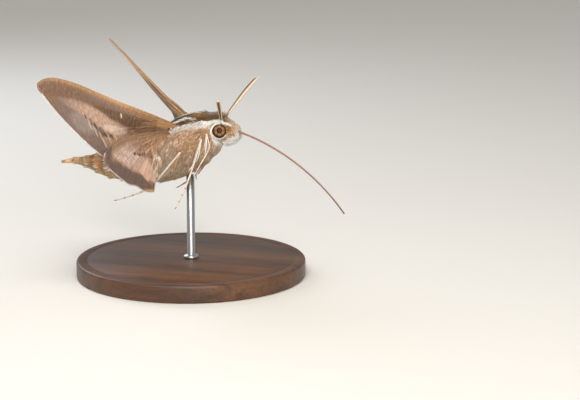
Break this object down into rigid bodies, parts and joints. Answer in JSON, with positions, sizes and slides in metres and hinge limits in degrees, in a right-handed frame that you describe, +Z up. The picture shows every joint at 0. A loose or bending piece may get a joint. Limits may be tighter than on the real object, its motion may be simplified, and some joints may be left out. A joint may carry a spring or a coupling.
{
  "type": "white-lined sphinx moth",
  "caption": "Life-size still model of a white-lined sphinx moth hovering with raised wings and outstretched tongue, held by a rod on a round wooden base.",
  "frame": {"origin": "middle of the underside of the stand's base", "axes": "+Z up, the moth heads along +X, its right side is -Y"},
  "size_m": [0.0691, 0.0628, 0.0503],
  "materials": {
    "walnut": "dark turned walnut, satin lacquer",
    "rod_steel": "fine brushed steel",
    "head_fur": "short brown and white fur-like scales",
    "thorax_fur": "olive brown and tan fur-like scales with white stripes",
    "abdomen_scales": "tan and grey scales with pale and dark side spots",
    "tail_scales": "peach tuft of long scales",
    "tongue": "pinkish brown, slightly shiny",
    "eye": "dark brown compound eye, glossy",
    "palp_scales": "white scales, brown above",
    "antenna": "tan with a dark line and a white tip",
    "leg_scales": "white scales, orange brown feet",
    "forewing_scales": "scaled membrane: pinkish taupe and cream below, dark olive with a tan band above",
    "hindwing_scales": "scaled membrane: pinkish brown below, black with a pink band above"
  },
  "bodies": {
    "root": {"stand_base": "walnut", "stand_rod": "rod_steel", "head": "head_fur", "thorax": "thorax_fur", "abdomen": "abdomen_scales", "tail_tuft": "tail_scales", "proboscis": "tongue", "eye_right": "eye", "eye_left": "eye", "palp_right": "palp_scales", "palp_left": "palp_scales", "antenna_right": "antenna", "antenna_left": "antenna", "foreleg_right": "leg_scales", "midleg_right": "leg_scales", "hindleg_right": "leg_scales", "foreleg_left": "leg_scales", "midleg_left": "leg_scales", "hindleg_left": "leg_scales", "forewing_right": "forewing_scales", "forewing_left": "forewing_scales", "hindwing_right": "hindwing_scales", "hindwing_left": "hindwing_scales"}
  },
  "joints": []
}
